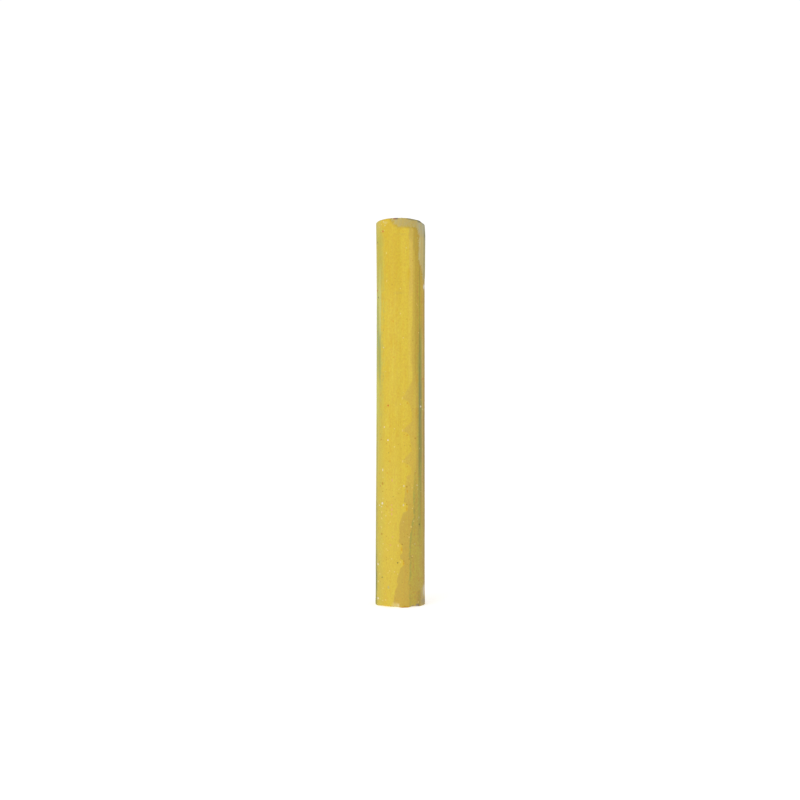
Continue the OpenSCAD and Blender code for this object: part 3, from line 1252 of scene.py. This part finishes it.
    blots: tuple[Blot, ...] = (
        Blot("teal patch", srgb(142, 164, 116), -66, 64.8, 0.35, 2.0, 0.7, 0.7),
        Blot("grey scuff", srgb(214, 206, 188), 73, 3.6, 0.7, 1.1, 0.9, 0.8),
        Blot("grey scuff tail", srgb(200, 188, 156), 82, 2.6, 0.9, 0.45, 0.6, 0.8),
        Blot("mauve side", srgb(142, 130, 112), 72, 1.1, 1.3, 0.6, 0.6, 0.8),
        Blot("cream foot", srgb(220, 204, 136), -12, 0.3, 0.75, 0.8, 0.7, 0.7),
        Blot("cream crumb", srgb(226, 212, 160), -5, 0.5, 0.3, 0.5, 0.6, 0.6),
        Blot("amber lip", srgb(186, 142, 24), 9, 0.0, 1.1, 0.4, 0.9, 0.3),
        Blot("mauve crumble", srgb(146, 126, 104), 30, 0.2, 0.35, 0.45, 0.8, 0.4),
        Blot("mauve crumb", srgb(128, 116, 108), 43, 0.3, 0.6, 0.4, 0.8, 0.4),
        Blot("rim spot", srgb(150, 70, 60), -13, 94.45, 0.35, 0.35, 0.95, 0.4),
        Blot("rim shadow", srgb(100, 90, 90), -8, 94.45, 0.3, 0.3, 0.85, 0.4),
        Blot("cream fleck", srgb(206, 204, 148), 51, 88.8, 0.3, 0.9, 0.6, 0.8),
        Blot("cream fleck low", srgb(204, 202, 146), 50, 85.6, 0.3, 1.0, 0.6, 0.8),
        Blot("side bruise", srgb(150, 146, 108), 76, 91.0, 0.7, 1.6, 0.8, 0.7),
        # the side chip's dark blue-grey is painted shade in the hollow of the chip at the head's right
        # edge
        Blot("side chip shade", srgb(88, 92, 78), 75.5, 91.2, 0.34, 0.6, 0.95, 0.5),
        Blot("white chip", srgb(232, 230, 218), 73.5, 78.2, 0.4, 0.6, 0.95, 0.6),
        Blot("white chip tail", srgb(214, 204, 164), 80, 78.7, 0.5, 0.2, 0.6, 0.8),
        Blot("cream rim", srgb(222, 208, 132), -36, 93.6, 0.5, 0.4, 0.4, 0.8),
        Blot("rubbed head", srgb(192, 174, 104), -150, 93.8, 2.4, 1.5, 0.75, 0.3),
        Blot("rubbed head low", srgb(196, 176, 96), -141, 91.6, 0.9, 1.3, 0.6, 0.4),
        Blot("rubbed foot", srgb(198, 178, 100), -157, 0.8, 1.8, 1.2, 0.6, 0.4),
        Blot("thumb smear", srgb(190, 168, 74), -116, 15, 1.1, 5.0, 0.5, 0.8),
        Blot("dull patch", srgb(196, 168, 70), -2, 76.0, 1.1, 0.3, 0.4, 0.8),
        Blot("dull band", srgb(200, 172, 72), 4, 90.5, 1.0, 0.3, 0.35, 0.8),
        Blot("honey drop", srgb(214, 176, 30), 20, 80.6, 0.4, 1.3, 0.5, 0.8),
        Blot("orange edge", srgb(196, 150, 34), 41, 46.5, 0.3, 1.4, 0.5, 0.7),
        Blot("orange edge low", srgb(198, 152, 34), 42, 55.0, 0.3, 1.2, 0.5, 0.7),
        Blot("pale bloom", srgb(208, 194, 104), -120, 62, 1.2, 4.0, 0.4, 0.9),
        Blot("drab bloom", srgb(184, 170, 92), 170, 78, 2.0, 5.0, 0.5, 0.9),
        Blot("drab streak", srgb(180, 166, 84), -150, 22, 0.7, 6.0, 0.5, 0.9),
        Blot("cream chip", srgb(222, 208, 142), -118, 0.2, 0.9, 0.8, 0.8, 0.5),
        Blot("far cream chip", srgb(222, 208, 142), 160, 0.4, 1.3, 1.1, 0.8, 0.5),
    )
    peppers: tuple[Pepper, ...] = (
        Pepper("crumbs", srgb(226, 208, 130), 1.4, 0.09, 0.6, 1.0, 0.15),
        Pepper("pinholes", srgb(186, 146, 36), 1.4, 0.2, 0.6, -1.0, 0.3),
        Pepper("grit", srgb(122, 106, 48), 1.8, 0.03, 0.6, -0.6, 0.0),
        Pepper("freckles", srgb(212, 160, 36), 1.3, 0.45, 0.32, 0.0, 0.9),
    )

    def material(self) -> bpy.types.Material:
        """Makes the wax.

        Returns:
            The material.
        """
        material = bpy.data.materials.new("marking_wax")
        material.use_nodes = True
        material.node_tree.nodes.clear()
        WaxPainter(self, Bench(material.node_tree)).paint()
        return material


@dataclass
class WaxPainter:
    """Lays a finish on in the wax's node tree, from the cast yellow up to the dust and the scratches."""

    finish: WaxFinish
    bench: Bench
    spot: Socket = field(init=False)
    unrolled: Socket = field(init=False)
    bearing: Socket = field(init=False)
    height: Socket = field(init=False)
    radius: Socket = field(init=False)
    wobble: Socket = field(init=False)
    blotch: Socket = field(init=False)
    streak: Socket = field(init=False)
    shakes: Sockets = field(init=False)

    def __post_init__(self) -> None:
        """Finds where a point lies, and makes the noises that many layers share."""
        place = self.bench.group(place_group()).outputs
        self.spot, self.unrolled = place["Place"], place["Unrolled"]
        self.bearing, self.height, self.radius = place["Bearing"], place["Height"], place["Radius"]
        self.wobble = self.bench.noise(self.spot, self.finish.wobble)
        self.blotch = self.bench.noise(self.spot, self.finish.blotch)
        self.streak = self.bench.noise(self.spot, self.finish.streak)
        self.shakes = {"Drift": self.bench.maths("SUBTRACT", self.blotch, 0.5),
                       "Fray": self.bench.maths("SUBTRACT", self.wobble, 0.5)}

    def past(self, border: Border, softness: object, noise: Socket | None = None) -> Socket:
        """Tells the two sides of a border apart.

        Args:
            border: The border.
            softness: How soft it is.
            noise: What shakes it, if it isn't the shared wobble.

        Returns:
            The mask of what lies past it.
        """
        distance = self.bench.border(border.name)
        shaking = self.wobble if noise is None else noise
        edge = self.bench.group(edge_group(), Distance=distance, Noise=shaking, Shake=border.shake,
                                Softness=softness)
        return edge.outputs[0]

    def patched(self, colour: Socket, patches: tuple[Patch, ...], within: Socket | None = None) -> Socket:
        """Lays patches over a colour.

        Args:
            colour: The colour beneath.
            patches: The patches, lowest first.
            within: A mask that the patches stay inside.

        Returns:
            The colour with the patches.
        """
        bench = self.bench
        for patch in patches:
            (left, right), (low, high), (across, along) = patch.bearing, patch.height, patch.soft
            mask = bench.group(patch_group(), Bearing=self.bearing, Height=self.height, **self.shakes)
            extent = {
                "Wander": patch.wander, "Centre": (left + right) / 2, "Middle": (low + high) / 2,
                "Full across": (right - left - across) / 2, "End across": (right - left + across) / 2,
                "Full along": (high - low - along) / 2, "End along": (high - low + along) / 2,
            }
            for name, value in extent.items():
                mask.inputs[name].default_value = value
            share = bench.times(mask.outputs[0], patch.share)
            if within is not None:
                share = bench.times(share, within)
            colour = bench.blend(share, colour, patch.colour)
        return colour

    def fresh_wax(self) -> Socket:
        """Mixes the fresh yellow, with its amber blotches, pale streaks and patches.

        Returns:
            The colour.
        """
        bench, finish = self.bench, self.finish
        colour = bench.blend(bench.ramp(self.blotch, 0.38, 0.58, 0.4, 1.0), finish.amber, finish.yellow)
        colour = bench.blend(bench.ramp(self.streak, 0.45, 0.75, 0.0, 0.35), colour, finish.straw)
        return self.patched(colour, finish.fresh)

    def front_mask(self) -> Socket:
        """Masks where old skin and the painted shade of the right side may lie: from the left limb round
        the front to the back's border.
        """
        from_left = self.bench.ramp(self.bearing, *self.finish.front_starts)
        return self.bench.times(from_left, self.bench.rest(self.past(BACK_BORDER, 0.3)))

    def old_skin_and_shade(self, colour: Socket) -> tuple[Socket, Socket]:
        """Lays the old, dirty skin over the fresh wax: sage at the left, and at the right tan and khaki,
        which are darker partly as painted shade of the side turned away from the key.

        Args:
            colour: The colour beneath.

        Returns:
            The colour with the old skin, and the mask of where its grain is stronger.
        """
        bench, finish = self.bench, self.finish
        front = self.front_mask()
        ragged = bench.noise(self.spot, finish.ragged)
        soft = bench.ramp(self.height, *finish.sage_softens, 1.0, 2.2)
        sage = bench.rest(self.past(SAGE_BORDER, soft, ragged))
        sage = bench.times(sage, front, bench.ramp(ragged, 0.42, 0.6, 1.0, 0.5))
        colour = bench.blend(sage, colour, finish.sage)
        # the tan and khaki zones are old skin and partly painted shade of the right side
        tan = self.past(TAN_BORDER, bench.ramp(self.height, *finish.skin_softens, 0.08, 0.4))
        skin = bench.blend(bench.ramp(self.height, *finish.skin_pales), finish.tan, finish.pale_tan)
        colour = bench.blend(bench.times(tan, front), colour, skin)
        khaki = self.past(KHAKI_BORDER, bench.ramp(self.height, *finish.khaki_softens, 0.14, 0.5))
        khaki = bench.times(khaki, bench.ramp(self.height, *finish.khaki_ends))
        colour = bench.blend(bench.times(khaki, front), colour, finish.khaki)
        colour = self.patched(colour, finish.aged_and_shaded, front)
        colour = bench.blend(bench.times(self.fringe(ragged), front), colour, finish.moss)
        right = bench.ramp(self.bearing, *finish.old_starts)
        return self.flaked(colour), bench.times(bench.maths("MAXIMUM", khaki, right), front)

    def fringe(self, ragged: Socket) -> Socket:
        """Marks the mossy fringe that runs in fits along the khaki's edge, near the foot.

        Args:
            ragged: The noise that breaks it up.

        Returns:
            The mask.
        """
        bench = self.bench
        away = bench.maths("ABSOLUTE", bench.maths("ADD", bench.border(KHAKI_BORDER.name), -0.15))
        line = bench.times(bench.ramp(away, 0.4, 0.1), bench.ramp(ragged, 0.42, 0.55))
        return bench.times(line, bench.ramp(self.height, *self.finish.fringe_ends, 0.0, 0.6))

    def flaked(self, colour: Socket) -> Socket:
        """Scatters flakes of old skin over the right side, and scuffs over the back.

        Args:
            colour: The colour beneath.

        Returns:
            The colour with flakes and scuffs.
        """
        bench, finish = self.bench, self.finish
        flakes = bench.ramp(bench.noise(self.spot, finish.flakes), 0.5, 0.56)
        shown = bench.times(bench.ramp(self.bearing, *finish.flakes_start),
                            bench.ramp(self.bearing, *finish.flakes_end))
        colour = bench.blend(bench.times(flakes, shown, 0.6), colour, finish.tan)
        behind = bench.ramp(bench.maths("ABSOLUTE", self.bearing), *finish.back_starts)
        scuffs = bench.ramp(bench.noise(self.spot, finish.scuffs), 0.54, 0.6)
        return bench.blend(bench.times(scuffs, behind, 0.55), colour, finish.tan)

    def grained(self, colour: Socket, grain: Socket, old: Socket) -> Socket:
        """Gives a colour the grain of filled wax: warmer and greener, lighter and darker.

        Args:
            colour: The colour beneath.
            grain: Fine noise.
            old: Where the wax is old, and its grain is stronger.

        Returns:
            The grained colour.
        """
        bench = self.bench
        shift = bench.maths("SUBTRACT", bench.maths("MULTIPLY_ADD", self.streak, 0.4, grain), 0.7)
        hue = bench.maths("MULTIPLY_ADD", shift, bench.ramp(old, 0.0, 1.0, 0.05, 0.14), 0.5)
        tint = bench.add("HueSaturation")
        bench.feed(tint.inputs["Hue"], hue)
        centred = bench.maths("SUBTRACT", grain, 0.5)
        bench.feed(tint.inputs["Value"], bench.maths("MULTIPLY_ADD", centred, 0.3, 1.0))
        bench.feed(tint.inputs["Color"], colour)
        return tint.outputs[0]

    def dusted(self, colour: Socket, grain: Socket) -> Socket:
        """Lays the dusty rub of the head over a colour, with a painted umber shade just under its edge.

        Args:
            colour: The colour beneath.
            grain: The noise that tears the rub's edge.

        Returns:
            The colour with the rub.
        """
        bench, finish = self.bench, self.finish
        near = bench.ramp(bench.border(RUB_BORDER.name), -0.8, 0.0)
        # the seam is painted shade just under the rub's raised edge
        seam = bench.times(near, bench.ramp(self.blotch, 0.35, 0.6, 0.4, 0.8))
        colour = bench.blend(seam, colour, finish.umber)
        rub = self.past(RUB_BORDER, 0.16, grain)
        rub = bench.times(rub, bench.ramp(self.streak, 0.34, 0.48, 0.7, 1.0))
        dust = bench.blend(bench.ramp(self.wobble, 0.4, 0.65), finish.dust, finish.tan_dust)
        dust = self.patched(dust, finish.worn)
        dust = bench.blend(bench.ramp(grain, 0.5, 0.66, 0.0, 0.45), dust, finish.scraped)
        return bench.blend(rub, colour, dust)

    def spotted(self, colour: Socket) -> Socket:
        """Lays the blots and the specks over a colour, with ragged outlines.

        Args:
            colour: The colour beneath.

        Returns:
            The colour with blots and specks.
        """
        bench, finish = self.bench, self.finish
        ragged = bench.add("TexNoise")
        bench.feed(ragged.inputs["Vector"], self.spot)
        ragged.inputs["Scale"].default_value = finish.outline_per_mm
        centred = bench.vector("SUBTRACT", ragged.outputs["Color"], (0.5, 0.5, 0.5)).outputs[0]
        shake = (finish.blot_shake, finish.blot_shake, 0.0)
        shaken = bench.vector("MULTIPLY_ADD", centred, shake, self.unrolled).outputs[0]
        for blot in finish.blots:
            scale = (1 / blot.half_width, 1 / blot.half_height, 1)
            spread = bench.vector("MULTIPLY", shaken, scale).outputs[0]
            centre = (blot.bearing * DEGREE * scale[0], blot.height * scale[1], 0)
            away = bench.vector("DISTANCE", spread, centre).outputs["Value"]
            mask = bench.ramp(away, 1 + blot.soft, 1 - blot.soft, 0.0, blot.share)
            colour = bench.blend(mask, colour, blot.colour)
        shake = (finish.speck_shake, finish.speck_shake, 0.0)
        shaken = bench.vector("MULTIPLY_ADD", centred, shake, self.unrolled).outputs[0]
        for mark in Mark:
            mask = bench.group(speck_group(mark), Unrolled=shaken).outputs[0]
            colour = bench.blend(bench.times(mask, finish.speck_share), colour, srgb(*mark.value))
        return colour

    def faced(self, colour: Socket) -> Socket:
        """Dresses the cut face of the head: scraped wax with dust and dirt in its scrape marks.

        Args:
            colour: The colour beneath.

        Returns:
            The colour with the head face.
        """
        bench, finish = self.bench, self.finish
        turned = bench.add("VectorRotate", rotation_type="Z_AXIS")
        bench.feed(turned.inputs["Vector"], self.spot)
        turned.inputs["Angle"].default_value = -finish.scrape_turn
        scrape = bench.noise(turned.outputs[0], finish.scrape)
        cloud = bench.noise(self.spot, finish.cloud)
        face = bench.blend(bench.ramp(cloud, 0.4, 0.62), finish.straw, finish.scraped)
        face = bench.blend(bench.ramp(cloud, 0.56, 0.66, 0.0, 0.5), face, finish.tan_dust)
        face = bench.blend(bench.ramp(scrape, 0.52, 0.62, 0.0, 0.6), face, finish.yellow)
        face = bench.blend(bench.ramp(scrape, 0.46, 0.36, 0.0, 0.3), face, finish.khaki)
        smut = bench.ramp(bench.times(scrape, cloud), 0.19, 0.12, 0.0, 0.45)
        face = bench.blend(smut, face, finish.dirt)
        flat = bench.times(bench.ramp(self.radius, *finish.face_ends),
                           bench.ramp(self.height, *finish.face_starts))
        return bench.blend(flat, colour, face)

    def peppered(self, colour: Socket, relief: Socket) -> tuple[Socket, Socket]:
        """Strews crumbs, pinholes, grit and freckles, thinner towards the head.

        Args:
            colour: The colour beneath.
            relief: The relief so far.

        Returns:
            The colour and the relief with them.
        """
        bench = self.bench
        level = bench.ramp(self.height, *self.finish.pepper_thickens)
        for number, pepper in enumerate(self.finish.peppers):
            moved = bench.vector("ADD", self.spot, (number * self.finish.pepper_apart,) * 3).outputs[0]
            grains = bench.group(pepper_group(), Place=moved)
            grains.inputs["Per mm"].default_value = pepper.per_mm
            density = bench.maths("MULTIPLY_ADD", level, 1 - pepper.share_at_head, pepper.share_at_head)
            bench.feed(grains.inputs["Share"], bench.times(density, pepper.share))
            colour = bench.blend(bench.times(grains.outputs[0], pepper.strength), colour, pepper.colour)
            relief = bench.maths("MULTIPLY_ADD", grains.outputs[0], pepper.relief, relief)
        return colour, relief

    def scratched(self, colour: Socket, relief: Socket) -> tuple[Socket, Socket]:
        """Draws the fine scratches, which lay fresh wax bare.

        Args:
            colour: The colour beneath.
            relief: The relief so far.

        Returns:
            The colour and the relief with them.
        """
        bench = self.bench
        for scratch in self.finish.scratches:
            lines = bench.group(scratch_group(), Place=self.spot)
            lines.inputs["Slant"].default_value = scratch.slant
            lines.inputs["Shift"].default_value = scratch.shift
            shown = bench.times(lines.outputs[0], scratch.strength)
            colour = bench.blend(shown, colour, self.finish.straw)
            relief = bench.maths("MULTIPLY_ADD", lines.outputs[0], -self.finish.scratch_depth, relief)
        return colour, relief

    def coloured(self) -> Socket:
        """Lays all the colours on, zone by zone.

        Returns:
            The colour.
        """
        colour, old = self.old_skin_and_shade(self.fresh_wax())
        grain = self.bench.noise(self.spot, self.finish.grain)
        colour = self.dusted(self.grained(colour, grain, old), grain)
        return self.faced(self.spotted(colour))

    def paint(self) -> None:
        """Lays the whole finish on and joins it to the material's output."""
        bench, finish = self.bench, self.finish
        colour = self.coloured()
        fine = bench.noise(self.spot, finish.fine)
        drag = bench.noise(self.spot, finish.drag)
        relief = bench.maths("MULTIPLY_ADD", drag, 0.7, bench.times(fine, 0.6))
        colour, relief = self.scratched(*self.peppered(colour, relief))
        shader = bench.add("BsdfPrincipled")
        bench.feed(shader.inputs["Base Color"], colour)
        gloss = bench.noise(self.spot, finish.gloss)
        sheen = bench.ramp(gloss, 0.2, 0.8, finish.sleek, finish.rough)
        bench.feed(shader.inputs["Roughness"], sheen)
        shader.inputs["Specular IOR Level"].default_value = finish.specular
        shader.inputs["Subsurface Weight"].default_value = finish.subsurface
        shader.inputs["Subsurface Radius"].default_value = finish.subsurface_reach
        shader.inputs["Subsurface Scale"].default_value = MM
        bump = bench.add("Bump")
        bench.feed(bump.inputs["Height"], relief)
        bump.inputs["Strength"].default_value = finish.relief_strength
        bump.inputs["Distance"].default_value = finish.relief_depth * MM
        bench.feed(shader.inputs["Normal"], bump.outputs[0])
        output = bench.add("OutputMaterial")
        bench.feed(output.inputs["Surface"], shader.outputs[0])


# ---------------------------------------------------------------- the studio

@dataclass
class Studio:
    """A pale floor, light from all round, a soft key from the left front, and the camera."""

    # the floor and the light, in metres, watts and shares of light
    floor_radius: float = 2.0
    floor_tone: float = 0.85
    floor_roughness: float = 0.9
    floor_specular: float = 0.1
    floor_glow: float = 0.5
    world_light: float = 0.62
    backdrop_light: float = 1.05
    key_watts: float = 0.9
    key_place: tuple[float, float, float] = (-0.3, -0.42, 0.3)
    key_target: tuple[float, float, float] = (0, 0, 0.05)
    key_width: float = 0.35
    key_height: float = 0.45
    # the camera: its picture's width and its focal length in pixels, and the rest in millimetres
    image_px: float = 800.0
    focal_px: float = 925.5
    sensor_width: float = 36.0
    camera_away: float = 230.0
    camera_height: float = 37.7
    camera_left: float = 0.095
    camera_near: float = 10.0
    camera_pitch: float = math.radians(3.1)

    def floor(self) -> None:
        """Lays the pale floor, which glows a little so that it meets the background without a line."""
        bpy.ops.object.select_all(action="DESELECT")
        bpy.ops.mesh.primitive_circle_add(vertices=96, radius=self.floor_radius, fill_type="NGON")
        floor = bpy.context.object
        floor.name = "studio_floor"
        material = bpy.data.materials.new("studio_floor")
        material.use_nodes = True
        shader = material.node_tree.nodes["Principled BSDF"]
        shader.inputs["Base Color"].default_value = (self.floor_tone, self.floor_tone, self.floor_tone, 1)
        shader.inputs["Roughness"].default_value = self.floor_roughness
        shader.inputs["Specular IOR Level"].default_value = self.floor_specular
        shader.inputs["Emission Color"].default_value = (1, 1, 1, 1)
        shader.inputs["Emission Strength"].default_value = self.floor_glow
        floor.data.materials.append(material)

    def light(self) -> None:
        """Sets the light of the room and hangs the key softbox."""
        world = bpy.data.worlds.new("studio")
        bpy.context.scene.world = world
        world.use_nodes = True
        bench = Bench(world.node_tree)
        background = world.node_tree.nodes["Background"]
        background.inputs["Color"].default_value = (1, 1, 1, 1)
        seen = bench.add("LightPath").outputs["Is Camera Ray"]
        strength = bench.ramp(seen, 0.0, 1.0, self.world_light, self.backdrop_light)
        bench.feed(background.inputs["Strength"], strength)
        bpy.ops.object.light_add(type="AREA", location=self.key_place)
        key = bpy.context.object
        key.name = "key_softbox"
        key.data.shape = "RECTANGLE"
        key.data.size = self.key_width
        key.data.size_y = self.key_height
        key.data.energy = self.key_watts
        aim = Vector(self.key_target) - key.location
        key.rotation_euler = aim.to_track_quat("-Z", "Y").to_euler()

    def camera(self) -> None:
        """Sets the camera level with the lower half of the stick, looking slightly up."""
        bpy.ops.object.camera_add(
            location=(-self.camera_left * MM, -self.camera_away * MM, self.camera_height * MM),
            rotation=(math.pi / 2 + self.camera_pitch, 0, 0))
        camera = bpy.context.object
        camera.data.sensor_width = self.sensor_width
        camera.data.lens = self.sensor_width * self.focal_px / self.image_px
        camera.data.clip_start = self.camera_near * MM
        bpy.context.scene.camera = camera

    def set_up(self) -> None:
        """Sets up the whole studio."""
        self.floor()
        self.light()
        self.camera()
        bpy.context.scene.view_settings.view_transform = "Standard"


def main() -> None:
    """Builds the crayon and the studio, and reports each piece."""
    logging.basicConfig(level=logging.INFO, format="%(name)s: %(message)s")
    crayon = Stick()
    stick = crayon.build()
    crayon.dress(WaxFinish().material())
    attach(stick, "root")
    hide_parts("crayon")
    LOG.info("%s: %d faces", stick.name, len(stick.data.polygons))
    Studio().set_up()


if __name__ == "__main__":
    main()
